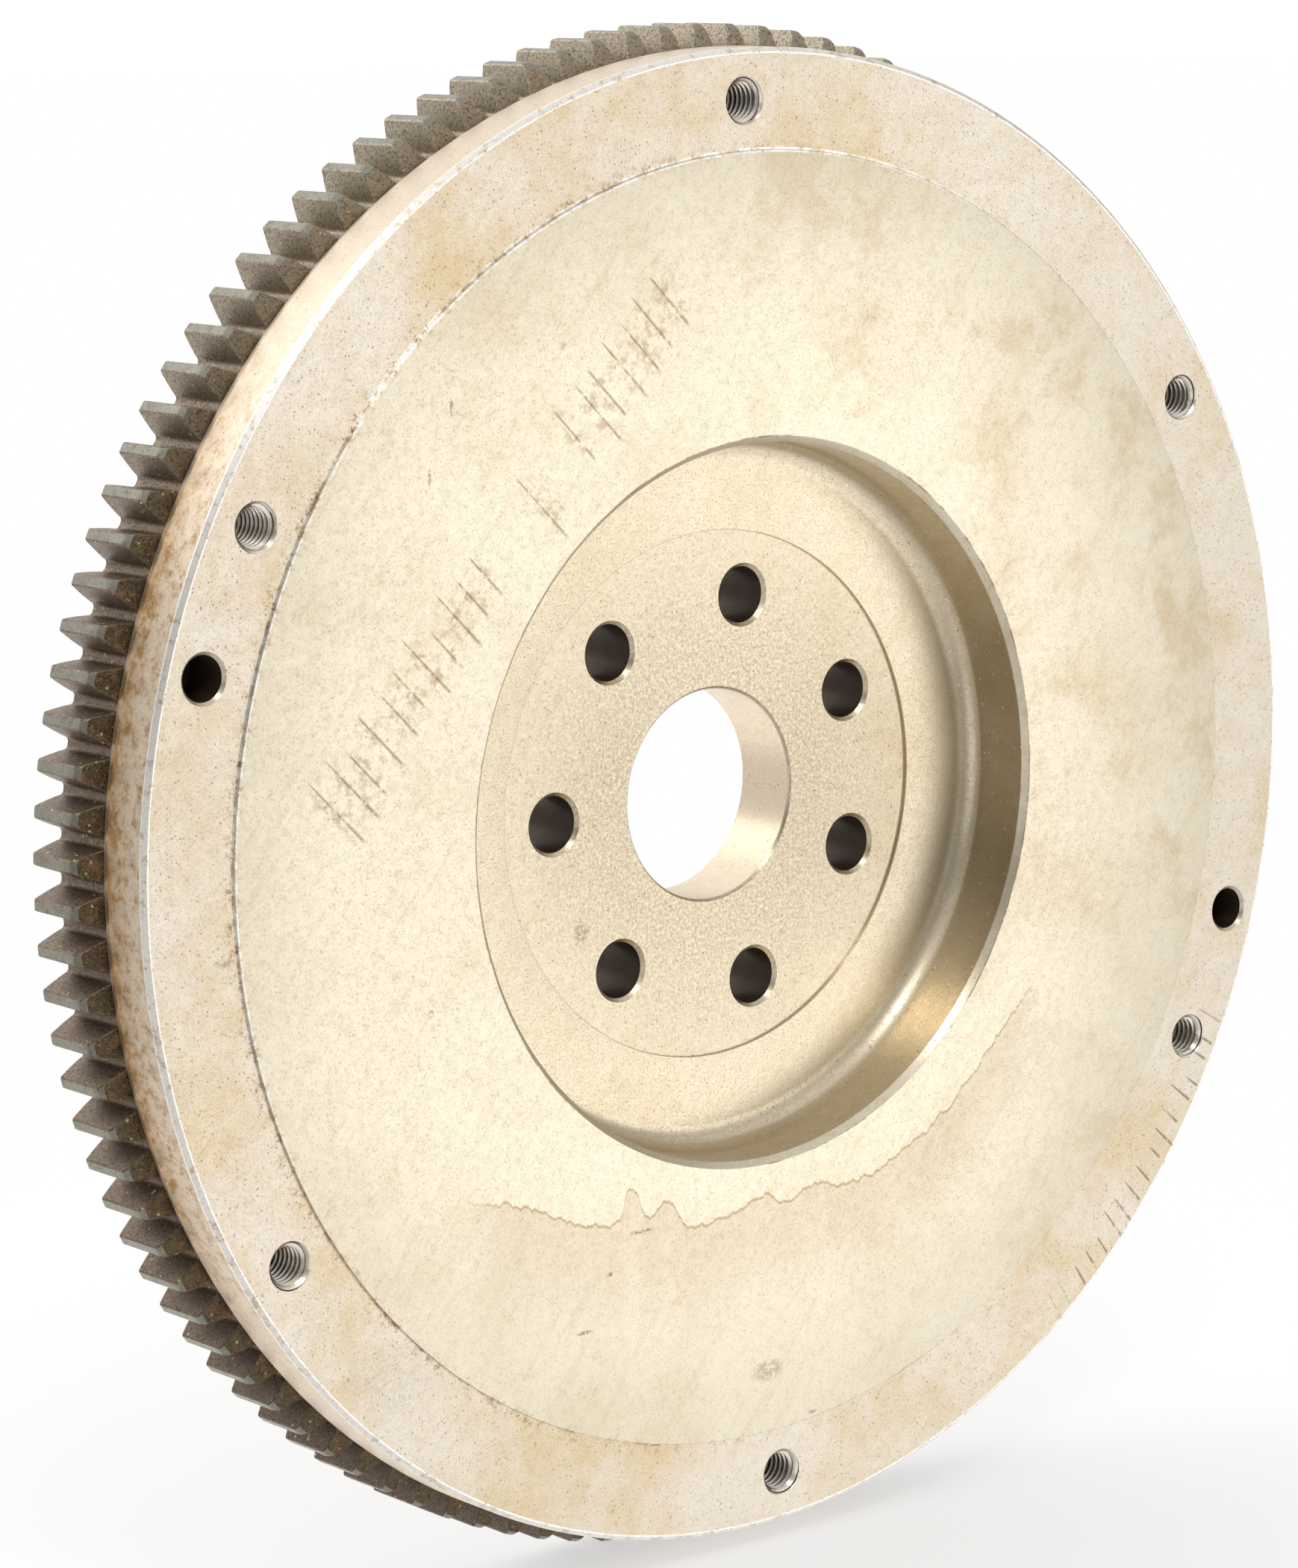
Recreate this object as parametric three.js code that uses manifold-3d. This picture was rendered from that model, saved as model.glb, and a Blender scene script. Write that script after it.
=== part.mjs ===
// A flywheel for a small engine: an iron disc, and a steel starter ring gear shrunk on to its rim.
// Millimetres. The wheel turns about the Y axis, its clutch side faces -Y, and +Z is up.
// The origin is the centre of the face that bolts to the crankshaft.

import * as THREE from "three";
import { mergeVertices } from "three/addons/utils/BufferGeometryUtils.js";
import Module from "manifold-3d";

const wasm = await Module();
wasm.setup();

// Starter ring gear
const gear = {
  toothCount: 111,
  module: 2.54,
  pressureAngle: 20,
  addendum: 2.54,
  toothDepth: 5.72,
  wall: 6.3, // from the tooth roots in to the seat
  width: 14.1,
  leadIn: 2, // how far the front ends of the teeth slope back
  phase: 0.43, // degrees from +X to the first tooth
};

// Room between the ring gear and its seat
const seatGap = 0.3;

// Outer rim and the plate that the clutch presses on
const rim = {
  overRoots: 1.7, // how far the rim stands over the tooth roots
  bandWidth: 13.2, // from the clutch cover face back to the ring gear's shoulder
  frontChamfer: 0.8,
  backChamferRise: 1.1, // measured across the wheel
  backChamferLength: 2.8, // measured along the wheel's axis
  coverFaceWidth: 18.5,
  backWidth: 26,
};
const plate = {
  raise: 0.6, // how far the friction face stands proud of the cover face
  thickness: 19.7,
  mouthChamfer: 1.2,
};

// Hub, from the bore outwards
const hub = {
  boreDiameter: 40,
  boreChamfer: 0.5,
  thickness: 14,
  padStep: 0.6, // how far the bolt pad lies below the recess floor
  padMargin: 12, // from the bolt circle out to the edge of the pad
  floorWidth: 13,
  recessFillet: 4.5,
  recessDepth: 15.1,
  wall: 18.5, // from the recess out to the pocket in the back
  backRelief: 1.5, // how far the back lies below the crankshaft's face
  pocketDraft: 1,
};

// Holes
const crankBolts = { count: 7, circleDiameter: 76, diameter: 10.7, chamfer: 0.7, step: 52.2, first: 25.8 };
const coverBolts = { count: 6, inset: 9.5, diameter: 6.8, chamfer: 1.1, floor: 2.2, step: 60, first: 32.3 };
const dowels = { count: 2, inset: 8.25, diameter: 8.2, chamfer: 0.3, floor: 3.2, step: 180, first: 164.3 };
const drillPoint = 118; // degrees between the flanks of a drill's point
const overshoot = 1; // how far a cutting tool runs past a face

const roundSides = gear.toothCount; // one flat side for each tooth
const holeSides = 20;
const filletSteps = 4;

// Radii that follow from the sizes above
const pitchRadius = (gear.toothCount * gear.module) / 2;
const tipRadius = pitchRadius + gear.addendum;
const rootRadius = tipRadius - gear.toothDepth;
const rimRadius = rootRadius + rim.overRoots;
const seatRadius = rootRadius - gear.wall;
const frictionRadius = rimRadius - rim.coverFaceWidth;
const pocketOuterRadius = rimRadius - rim.backWidth;
const boreRadius = hub.boreDiameter / 2;
const crankBoltRadius = crankBolts.circleDiameter / 2;
const padRadius = crankBoltRadius + hub.padMargin;
const recessRadius = padRadius + hub.floorWidth + hub.recessFillet;
const pocketInnerRadius = recessRadius + hub.wall;

// Places along Y
const padY = -hub.thickness;
const floorY = padY - hub.padStep;
const frictionY = floorY - hub.recessDepth;
const coverFaceY = frictionY + plate.raise;
const shoulderY = coverFaceY + rim.bandWidth;
const gearFrontY = shoulderY + seatGap;
const gearBackY = gearFrontY + gear.width;
const pocketY = frictionY + plate.thickness;

const radians = THREE.MathUtils.degToRad;

// A closed mesh as a solid that can be joined and cut.
function solidFrom(geometry) {
  geometry.deleteAttribute("normal");
  geometry.deleteAttribute("uv");
  const merged = mergeVertices(geometry);
  return new wasm.Manifold(
    new wasm.Mesh({
      numProp: 3,
      vertProperties: merged.attributes.position.array,
      triVerts: new Uint32Array(merged.index.array),
    }),
  );
}

function meshFrom(solid, name, material) {
  const made = solid.getMesh();
  const geometry = new THREE.BufferGeometry();
  geometry.setAttribute("position", new THREE.BufferAttribute(made.vertProperties, 3));
  geometry.setIndex(new THREE.BufferAttribute(made.triVerts, 1));
  geometry.computeVertexNormals();
  const mesh = new THREE.Mesh(geometry, material);
  mesh.name = name;
  return mesh;
}

// A clockwise profile of [radius, y] points turned about Y, with a corner at the given angle from +X to +Z.
function turned(profile, sides, cornerAngle = 0) {
  const points = profile.map(([radius, y]) => new THREE.Vector2(radius, y)).reverse();
  return solidFrom(new THREE.LatheGeometry(points, sides, Math.PI / 2 - cornerAngle, 2 * Math.PI));
}

// The corners of a wheel-sized turned shape lie in the gaps between the teeth.
const gapAngle = radians(gear.phase + 180 / gear.toothCount);

function flywheelDisc() {
  const fillet = [];
  for (let step = 0; step <= filletSteps; step++) {
    const angle = (step / filletSteps) * (Math.PI / 2);
    fillet.push([
      recessRadius - hub.recessFillet * (1 - Math.cos(angle)),
      floorY - hub.recessFillet * (1 - Math.sin(angle)),
    ]);
  }
  const profile = [
    [boreRadius, -hub.boreChamfer],
    [boreRadius + hub.boreChamfer, 0],
    [padRadius, 0],
    [padRadius, -hub.backRelief],
    [pocketInnerRadius, -hub.backRelief],
    [pocketInnerRadius + hub.pocketDraft, pocketY],
    [pocketOuterRadius - hub.pocketDraft, pocketY],
    [pocketOuterRadius, gearBackY],
    [seatRadius, gearBackY],
    [seatRadius, shoulderY],
    [rimRadius - rim.backChamferRise, shoulderY],
    [rimRadius, shoulderY - rim.backChamferLength],
    [rimRadius, coverFaceY + rim.frontChamfer],
    [rimRadius - rim.frontChamfer, coverFaceY],
    [frictionRadius, coverFaceY],
    [frictionRadius, frictionY],
    [recessRadius + plate.mouthChamfer, frictionY],
    [recessRadius, frictionY + plate.mouthChamfer],
    ...fillet,
    [padRadius, floorY],
    [padRadius, padY],
    [boreRadius + hub.boreChamfer, padY],
    [boreRadius, padY + hub.boreChamfer],
    [boreRadius, -hub.boreChamfer],
  ];
  let disc = turned(profile, roundSides, gapAngle);
  for (const tool of [...crankBoltTools(), ...coverBoltTools(), ...dowelTools()]) disc = disc.subtract(tool);
  return disc;
}

// A drill standing on a face that looks towards -Y, with a cone that breaks the hole's edge.
function drill(hole, length, pointLength) {
  const radius = hole.diameter / 2;
  const mouthRadius = radius + hole.chamfer;
  const profile = [
    [0, length + pointLength],
    [radius, length],
    [radius, hole.chamfer],
    [mouthRadius, 0],
    [mouthRadius, -overshoot],
    [0, -overshoot],
  ];
  return turned(profile, holeSides);
}

// The same tool at each hole of a circle, starting at the first hole and going from +X to +Z.
function aroundTheWheel(tool, hole, circleRadius, faceY) {
  return Array.from({ length: hole.count }, (_, index) => {
    const angle = radians(hole.first + index * hole.step);
    return tool.translate([circleRadius * Math.cos(angle), faceY, circleRadius * Math.sin(angle)]);
  });
}

function crankBoltTools() {
  const through = hub.thickness + overshoot;
  return aroundTheWheel(drill(crankBolts, through, 0), crankBolts, crankBoltRadius, padY);
}

function coverBoltTools() {
  const pointLength = coverBolts.diameter / 2 / Math.tan(radians(drillPoint / 2));
  const tool = drill(coverBolts, rim.bandWidth - coverBolts.floor, pointLength);
  return aroundTheWheel(tool, coverBolts, rimRadius - coverBolts.inset, coverFaceY);
}

function dowelTools() {
  const tool = drill(dowels, rim.bandWidth - dowels.floor, 0);
  return aroundTheWheel(tool, dowels, rimRadius - dowels.inset, coverFaceY);
}

// Half of a tooth's thickness at a radius, as an angle: an involute flank.
function toothHalfAngle(radius) {
  const involute = (angle) => Math.tan(angle) - angle;
  const pressure = radians(gear.pressureAngle);
  const baseRadius = pitchRadius * Math.cos(pressure);
  return Math.PI / (2 * gear.toothCount) + involute(pressure) - involute(Math.acos(baseRadius / radius));
}

function ringGear() {
  const outline = [];
  for (let tooth = 0; tooth < gear.toothCount; tooth++) {
    const middle = radians(gear.phase) + (tooth / gear.toothCount) * 2 * Math.PI;
    for (const side of [-1, 1]) {
      const radii = [rootRadius, pitchRadius, tipRadius];
      for (const radius of side < 0 ? radii : radii.reverse()) {
        const angle = middle + side * toothHalfAngle(radius);
        outline.push(new THREE.Vector2(radius * Math.cos(angle), radius * Math.sin(angle)));
      }
    }
  }
  const shape = new THREE.Shape(outline);
  const innerRadius = seatRadius + seatGap;
  const inner = Array.from({ length: roundSides }, (_, index) => {
    const angle = gapAngle - (index / roundSides) * 2 * Math.PI;
    return new THREE.Vector2(innerRadius * Math.cos(angle), innerRadius * Math.sin(angle));
  });
  shape.holes.push(new THREE.Path(inner));
  const blankDepth = gear.width + 2 * overshoot;
  const toothed = new THREE.ExtrudeGeometry(shape, { depth: blankDepth, bevelEnabled: false });
  toothed.rotateX(Math.PI / 2).translate(0, gearBackY + overshoot, 0);

  // The blank that trims the toothed ring: flat ends, and a lead-in slope on the front of the teeth.
  const slopeFoot = rimRadius - rim.backChamferRise;
  const slope = gear.leadIn / (tipRadius - slopeFoot);
  const blank = [
    [seatRadius - overshoot, gearFrontY],
    [seatRadius - overshoot, gearBackY],
    [tipRadius + overshoot, gearBackY],
    [tipRadius + overshoot, gearFrontY + gear.leadIn + slope * overshoot],
    [slopeFoot, gearFrontY],
    [seatRadius - overshoot, gearFrontY],
  ];
  return solidFrom(toothed).intersect(turned(blank, roundSides, gapAngle));
}

const castIron = new THREE.MeshStandardMaterial({ color: 0xcfc4ae, roughness: 0.45, metalness: 0.8 });
const gearSteel = new THREE.MeshStandardMaterial({ color: 0x7d786a, roughness: 0.5, metalness: 0.8 });

const flywheel = new THREE.Group();
flywheel.name = "flywheel";
flywheel.add(meshFrom(flywheelDisc(), "flywheel_disc", castIron));
flywheel.add(meshFrom(ringGear(), "ring_gear", gearSteel));

export default flywheel;
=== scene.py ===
import math

import bpy
import numpy as np
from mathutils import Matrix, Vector


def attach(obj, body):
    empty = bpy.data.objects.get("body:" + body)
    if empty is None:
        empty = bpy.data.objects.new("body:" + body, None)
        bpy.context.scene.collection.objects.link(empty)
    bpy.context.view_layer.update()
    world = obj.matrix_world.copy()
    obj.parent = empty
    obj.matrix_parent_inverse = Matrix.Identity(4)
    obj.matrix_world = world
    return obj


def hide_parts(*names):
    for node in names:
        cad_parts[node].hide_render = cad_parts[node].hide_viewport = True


# A flywheel: a turned iron disc with a starter ring gear on its rim.
# The wheel turns about Y, its clutch side faces -Y and +Z is up. Sizes are in millimetres, places in metres.
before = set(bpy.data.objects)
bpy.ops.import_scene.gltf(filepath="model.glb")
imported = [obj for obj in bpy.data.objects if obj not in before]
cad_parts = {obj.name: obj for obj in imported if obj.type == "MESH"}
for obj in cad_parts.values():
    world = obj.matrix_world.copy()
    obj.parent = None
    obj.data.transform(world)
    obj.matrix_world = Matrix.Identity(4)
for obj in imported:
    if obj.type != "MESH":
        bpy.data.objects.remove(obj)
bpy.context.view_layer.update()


mm = 0.001  # metres in a millimetre
fullTurn = 2 * math.pi


def cadRing(node):
    # Outer radius, front and back of a turned node, in millimetres.
    flat = np.empty(len(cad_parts[node].data.vertices) * 3)
    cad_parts[node].data.vertices.foreach_get("co", flat)
    places = flat.reshape(-1, 3) / mm
    radius = np.hypot(places[:, 0], places[:, 2]).max()
    return float(radius), float(places[:, 1].min()), float(places[:, 1].max())


rimRadius, frictionY, crankFaceY = cadRing("flywheel_disc")
tipRadius, gearFrontY, gearBackY = cadRing("ring_gear")
print("frame loaded")


cameraValues = {
    "place": (-609.5, -716.1, 158.2),
    "looksAt": (-27.9, -29.1, 6.9),
    "lens": 115.0,  # millimetres, on a 36 mm sensor's long side
}


def makeCamera():
    data = bpy.data.cameras.new("camera")
    data.lens = cameraValues["lens"]
    data.sensor_width = 36
    data.clip_end = 60
    camera = bpy.data.objects.new("camera", data)
    bpy.context.scene.collection.objects.link(camera)
    place = Vector(cameraValues["place"]) * mm
    camera.location = place
    ahead = Vector(cameraValues["looksAt"]) * mm - place
    camera.rotation_euler = ahead.to_track_quat("-Z", "Y").to_euler()
    bpy.context.scene.camera = camera


makeCamera()
print("camera made")


turnSteps = 720  # half a degree each
turnAngles = np.arange(turnSteps) * fullTurn / turnSteps
turnCos, turnSin = np.cos(turnAngles), np.sin(turnAngles)


def around(radius, y, step):
    # Points of a circle about the wheel's axis: x = r cos a, z = r sin a, with a = step * half a degree.
    step = step % turnSteps
    radius, y = np.broadcast_arrays(radius, y)
    return np.stack([radius * turnCos[step], y + 0 * turnCos[step], radius * turnSin[step]], -1)


def gridFaces(rows, columns, closed):
    # Quads of a grid of points, numbered row by row; a closed grid joins its last column to its first.
    row, column = np.meshgrid(np.arange(rows - 1), np.arange(columns - (not closed)), indexing="ij")
    after = (column + 1) % columns
    low, high = row * columns, (row + 1) * columns
    return np.stack([low + column, high + column, high + after, low + after], -1).reshape(-1, 4)


class Sheets:
    # Gathers grids of points into one surface, each face with a number for its kind of finish.
    def __init__(self):
        self.points, self.faces, self.kinds, self.count = [], [], [], 0

    def add(self, points, faces, kind):
        self.points.append(points.reshape(-1, 3))
        self.faces.append(faces + self.count)
        self.kinds.append(np.broadcast_to(kind, len(faces)).astype(np.float32))
        self.count += len(self.points[-1])

    def addGrid(self, grid, kind, closed=True, flip=False):
        faces = gridFaces(grid.shape[0], grid.shape[1], closed)
        self.add(grid, faces[:, ::-1] if flip else faces, kind)

    def weld(self):
        # Points at the same place become one; a quad that lost a corner becomes a triangle or goes.
        points, faces = np.concatenate(self.points), np.concatenate(self.faces)
        _, first, place = np.unique(
            np.round(points * 1e4 + 0.237).astype(np.int64), axis=0, return_index=True, return_inverse=True
        )
        faces, kinds = place.reshape(-1)[faces], np.concatenate(self.kinds)
        kept = faces != np.roll(faces, 1, axis=1)
        whole = kept.sum(axis=1) > 2
        return points[first], faces[whole], kept[whole], kinds[whole]


def makeObject(name, sheets, material, sharpDegrees, kindName):
    points, faces, kept, kinds = sheets.weld()
    loops, totals = faces[kept], kept.sum(axis=1)
    data = bpy.data.meshes.new(name)
    data.vertices.add(len(points))
    data.vertices.foreach_set("co", (points * mm).astype(np.float32).reshape(-1))
    data.loops.add(len(loops))
    data.loops.foreach_set("vertex_index", loops.astype(np.int32))
    data.polygons.add(len(faces))
    data.polygons.foreach_set("loop_start", (np.cumsum(totals) - totals).astype(np.int32))
    data.polygons.foreach_set("loop_total", totals.astype(np.int32))
    data.update(calc_edges=True)
    data.attributes.new(kindName, "FLOAT", "FACE").data.foreach_set("value", kinds)
    data.polygons.foreach_set("use_smooth", np.ones(len(faces), bool))
    data.set_sharp_from_angle(angle=math.radians(sharpDegrees))
    data.materials.append(material)
    piece = bpy.data.objects.new(name, data)
    bpy.context.scene.collection.objects.link(piece)
    return piece


def softened(profile, softRadius, steps=4):
    # A profile with each inner corner turned into an arc that touches both of its sides.
    rounded = [profile[0]]
    for before, corner, after in zip(profile, profile[1:], profile[2:]):
        corner = np.array(corner, float)
        arms = [np.array(end, float) - corner for end in (before, after)]
        lengths = [np.linalg.norm(arm) for arm in arms]
        arms = [arm / length for arm, length in zip(arms, lengths)]
        half = math.acos(np.clip(arms[0] @ arms[1], -1, 1)) / 2
        if half > math.radians(82):
            rounded.append(tuple(corner))
            continue
        reach = min(softRadius / math.tan(half), 0.45 * min(lengths))
        radius = reach * math.tan(half)
        middle = (arms[0] + arms[1]) / np.linalg.norm(arms[0] + arms[1])
        centre = corner + middle * math.hypot(reach, radius)
        start, end = corner + arms[0] * reach - centre, corner + arms[1] * reach - centre
        sweep = math.pi - 2 * half
        for step in range(steps + 1):
            share = step / steps
            spot = start * math.sin((1 - share) * sweep) + end * math.sin(share * sweep)
            rounded.append(tuple(centre + spot / math.sin(sweep)))
    rounded.append(profile[-1])
    return rounded


def turnedGrid(profile):
    # A turned surface: every profile point (r, y) carried once round the axis.
    radius, y = np.array(profile, float).T
    return around(radius[:, None], y[:, None], np.arange(turnSteps)[None, :])


def addNode(tree, kind, inputs=None, **settings):
    made = tree.nodes.new("ShaderNode" + kind)
    for label, value in settings.items():
        setattr(made, label, value)
    for label, value in (inputs or {}).items():
        plug(tree, value, made.inputs[label])
    return made


def plug(tree, value, socket):
    if isinstance(value, bpy.types.NodeSocket):
        tree.links.new(value, socket)
    elif value is not None:
        socket.default_value = value


def calc(tree, operation, *values, clamp=False):
    # One number worked out from others.
    made = addNode(tree, "Math", operation=operation, use_clamp=clamp)
    for value, socket in zip(values, made.inputs):
        plug(tree, value, socket)
    return made.outputs[0]


def times(tree, first, second, clamp=False):
    # The product of two numbers.
    return calc(tree, "MULTIPLY", first, second, clamp=clamp)


def blend(tree, share, first, second, mode="MIX"):
    # One colour from two: the first where share is 0, the second where it is 1.
    made = addNode(tree, "Mix", data_type="RGBA", blend_type=mode, clamp_factor=True)
    for value, label in ((share, "Factor_Float"), (first, "A_Color"), (second, "B_Color")):
        plug(tree, value, next(s for s in made.inputs if s.identifier == label))
    return next(s for s in made.outputs if s.identifier == "Result_Color")


def fade(tree, value, low, high, toLow=0.0, toHigh=1.0):
    # A soft step: toLow below low, toHigh above high.
    made = addNode(tree, "MapRange", interpolation_type="SMOOTHSTEP")
    for given, socket in zip((value, low, high, toLow, toHigh), made.inputs):
        plug(tree, given, socket)
    return made.outputs[0]


def noise(tree, vector, scale, detail=2.0, roughness=0.5, dimensions="3D"):
    inputs = {"Scale": scale, "Detail": detail, "Roughness": roughness}
    inputs["W" if dimensions == "1D" else "Vector"] = vector
    return addNode(tree, "TexNoise", inputs, noise_dimensions=dimensions).outputs["Fac"]


def newGroup(name, takes, gives):
    # A shader node group with its sockets, and the nodes at its two ends.
    group = bpy.data.node_groups.new(name, "ShaderNodeTree")
    kinds = {"number": "NodeSocketFloat", "vector": "NodeSocketVector"}
    for label, kind, value in takes:
        socket = group.interface.new_socket(label, in_out="INPUT", socket_type=kinds[kind])
        if value is not None:
            socket.default_value = value
    for label, kind in gives:
        group.interface.new_socket(label, in_out="OUTPUT", socket_type=kinds[kind])
    return group, group.nodes.new("NodeGroupInput").outputs, group.nodes.new("NodeGroupOutput").inputs


def useGroup(tree, group, **inputs):
    made = tree.nodes.new("ShaderNodeGroup")
    made.node_tree = group
    for label, value in inputs.items():
        plug(tree, value, made.inputs[label])
    return made.outputs


def linear(red, green, blue):
    # A screen colour, 0 to 255, as the linear colour that a shader takes.
    screen = (red, green, blue)
    return tuple(((v / 255 + 0.055) / 1.055) ** 2.4 if v > 10 else v / 3294.6 for v in screen) + (1.0,)


def placeGroup():
    # Where a point is on the wheel, in millimetres: radius = sqrt(x^2 + z^2), depth = y, angle = atan2(z, x).
    group, _, out = newGroup(
        "wheel place", [], [("Place", "vector"), ("Radius", "number"), ("Depth", "number"),
                            ("Angle", "number")]
    )
    spot = addNode(group, "TexCoord").outputs["Object"]
    place = addNode(group, "VectorMath", {0: spot}, operation="SCALE")
    place.inputs["Scale"].default_value = 1 / mm
    parts = addNode(group, "SeparateXYZ", {"Vector": place.outputs[0]}).outputs
    square = calc(group, "MULTIPLY_ADD", parts["X"], parts["X"], times(group, parts["Z"], parts["Z"]))
    plug(group, place.outputs[0], out["Place"])
    plug(group, calc(group, "SQRT", square), out["Radius"])
    plug(group, parts["Y"], out["Depth"])
    plug(group, calc(group, "ARCTAN2", parts["Z"], parts["X"]), out["Angle"])
    return group


def edgeGroup():
    # How near a point is to a circular edge: 1 on it, falling to 0 over Width, broken up by a patchy noise.
    group, given, out = newGroup(
        "edge line",
        [("Place", "vector", None), ("Radius", "number", 0), ("Depth", "number", 0),
         ("At radius", "number", 0),
         ("At depth", "number", 0), ("Width", "number", 0.5), ("Patchiness", "number", 0.5)],
        [("Mask", "number")],
    )
    across = calc(group, "SUBTRACT", given["Radius"], given["At radius"])
    along = calc(group, "SUBTRACT", given["Depth"], given["At depth"])
    square = calc(group, "MULTIPLY_ADD", across, across, times(group, along, along))
    line = calc(group, "SUBTRACT", 1.0, calc(group, "DIVIDE", calc(group, "SQRT", square), given["Width"]),
                clamp=True)
    patches = fade(group, noise(group, given["Place"], 0.06, 6, 0.8), 0.62, 0.42)
    thin = calc(group, "SUBTRACT", 1.0, times(group, given["Patchiness"], patches))
    plug(group, times(group, line, thin, clamp=True), out["Mask"])
    return group


def speckleGroup():
    # Small dark pores: cells of a given size, a share of them holding a dot of random size.
    group, given, out = newGroup(
        "speckle", [("Place", "vector", None), ("Cells per mm", "number", 1.0), ("Share", "number", 0.3)],
        [("Mask", "number")],
    )
    cells = addNode(group, "TexVoronoi", {"Vector": given["Place"], "Scale": given["Cells per mm"]})
    random = addNode(group, "SeparateColor", {"Color": cells.outputs["Color"]}).outputs
    size = calc(group, "MULTIPLY_ADD", random["Red"], 0.26, 0.08)
    dot = fade(group, cells.outputs["Distance"], size, times(group, size, 0.4))
    chosen = calc(group, "LESS_THAN", random["Green"], given["Share"])
    plug(group, times(group, dot, chosen), out["Mask"])
    return group


def strokesGroup():
    # A band of short cross strokes: along u they repeat every Pitch, each with its own reach across v.
    group, given, out = newGroup(
        "chatter strokes", [("U", "number", 0), ("V", "number", 0), ("Pitch", "number", 5.2)],
        [("Strokes", "number"), ("Smears", "number")],
    )
    wobble = calc(group, "MULTIPLY_ADD", given["V"], 0.035, given["U"])
    turn = calc(group, "DIVIDE", wobble, given["Pitch"])
    cell = calc(group, "FLOOR", turn)
    random = addNode(group, "TexWhiteNoise", {"W": cell}, noise_dimensions="1D").outputs["Color"]
    parts = addNode(group, "SeparateColor", {"Color": random}).outputs
    shift = calc(group, "MULTIPLY_ADD", parts["Red"], 0.3, 0.35)
    offset = times(group, calc(group, "SUBTRACT", calc(group, "FRACT", turn), shift), given["Pitch"])
    middle = calc(group, "MULTIPLY_ADD", parts["Green"], 3.0, -2.8)
    reach = calc(group, "MULTIPLY_ADD", parts["Blue"], 4.0, 5.2)
    across = calc(group, "SUBTRACT", given["V"], middle)
    far = calc(group, "DIVIDE", calc(group, "ABSOLUTE", across), reach)
    ends = fade(group, far, 1.0, 0.75)
    tail = calc(group, "MULTIPLY_ADD", across, 0.02, 0.4)  # heavier towards the outer end
    stroke = fade(group, calc(group, "ABSOLUTE", offset), tail, 0.05)
    plug(group, times(group, stroke, ends), out["Strokes"])
    beside = fade(group, calc(group, "ABSOLUTE", offset), 3.4, 1.0)
    plug(group, times(group, beside, fade(group, far, 0.9, 0.3)), out["Smears"])
    return group


wheelPlace, edgeLine, speckle, chatterStrokes = placeGroup(), edgeGroup(), speckleGroup(), strokesGroup()
print("shared finishes made")


disc = {
    "coverFaceWidth": 18.5,
    "plateRaise": 0.6,
    "plateThickness": 19.7,
    "mouthChamfer": 1.2,
    "recessRadius": 67.5,
    "recessFillet": 4.5,
    "recessDepth": 15.1,
    "padRadius": 50.0,
    "padStep": 0.6,
    "boreRadius": 20.0,
    "boreChamfer": 0.5,
    "bandWidth": 13.2,
    "frontChamfer": 0.8,
    "backChamferRise": 1.1,
    "backChamferLength": 2.8,
    "seatRadius": 131.49,
    "pocketOuter": 113.49,
    "pocketInner": 86.0,
    "pocketDraft": 1.0,
    "backRelief": 1.5,
    "softEdge": 0.16,
    "castSoftEdge": 1.2,
    "rowsAcrossFace": 16,
    "sharpDegrees": 30.0,
}
crankHoles = {"count": 7, "circle": 38.0, "radius": 5.35, "chamfer": 0.7, "first": 25.8, "step": 52.2,
              "span": 28}
coverThreads = {"count": 6, "inset": 9.5, "first": 32.3, "step": 60.0, "span": 8, "mouth": 4.5,
                "coreRadius": 3.4,
                "rootRadius": 4.02, "pitch": 1.25, "threaded": 10.2, "depth": 11.0, "drillPoint": 118.0}
dowelHoles = {"count": 2, "inset": 8.25, "first": 164.3, "step": 180.0, "span": 8, "radius": 4.1,
              "chamfer": 0.6,
              "depth": 10.0}
machined, castSkin, drilled, threaded = 0, 1, 2, 3  # kinds of finish on the disc

floorY = frictionY + disc["recessDepth"]
padY = floorY + disc["padStep"]
coverFaceY = frictionY + disc["plateRaise"]
shoulderY = coverFaceY + disc["bandWidth"]
pocketY = frictionY + disc["plateThickness"]
frictionRadius = rimRadius - disc["coverFaceWidth"]
boreEdge = disc["boreRadius"] + disc["boreChamfer"]


def holeAngles(holes):
    return np.radians(holes["first"] + holes["step"] * np.arange(holes["count"]))


def sectorLoops(holes, inner, outer):
    # The outline of the sector that each hole lies in, clockwise seen from the front: an arc, a side, an
    # arc, a side.
    span, rows = 2 * holes["span"], disc["rowsAcrossFace"]
    start = np.round(holeAngles(holes) / fullTurn * turnSteps).astype(int) - holes["span"]
    side = np.linspace(inner, outer, rows + 1)
    steps = np.concatenate([np.arange(span), np.full(rows, span), np.arange(span, 0, -1),
                            np.zeros(rows, int)])
    radii = np.concatenate([np.full(span, inner), side[:-1], np.full(span, outer), side[:0:-1]])
    return start, start[:, None] + steps, np.broadcast_to(radii, (holes["count"], len(radii)))


def bearings(holes, circle, steps, radii):
    # The direction from each hole's centre to each point of its sector's outline.
    angles = holeAngles(holes)[:, None]
    x = radii * turnCos[steps % turnSteps] - circle * np.cos(angles)
    z = radii * turnSin[steps % turnSteps] - circle * np.sin(angles)
    return np.arctan2(z, x)


def holeRing(holes, circle, bearing, radius, y):
    # Points of each hole's circle: its centre plus radius * (cos b, sin b).
    angles = holeAngles(holes)[:, None]
    x = circle * np.cos(angles) + radius * np.cos(bearing)
    z = circle * np.sin(angles) + radius * np.sin(bearing)
    return np.stack([x, np.broadcast_to(y, x.shape), z], -1)


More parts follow.
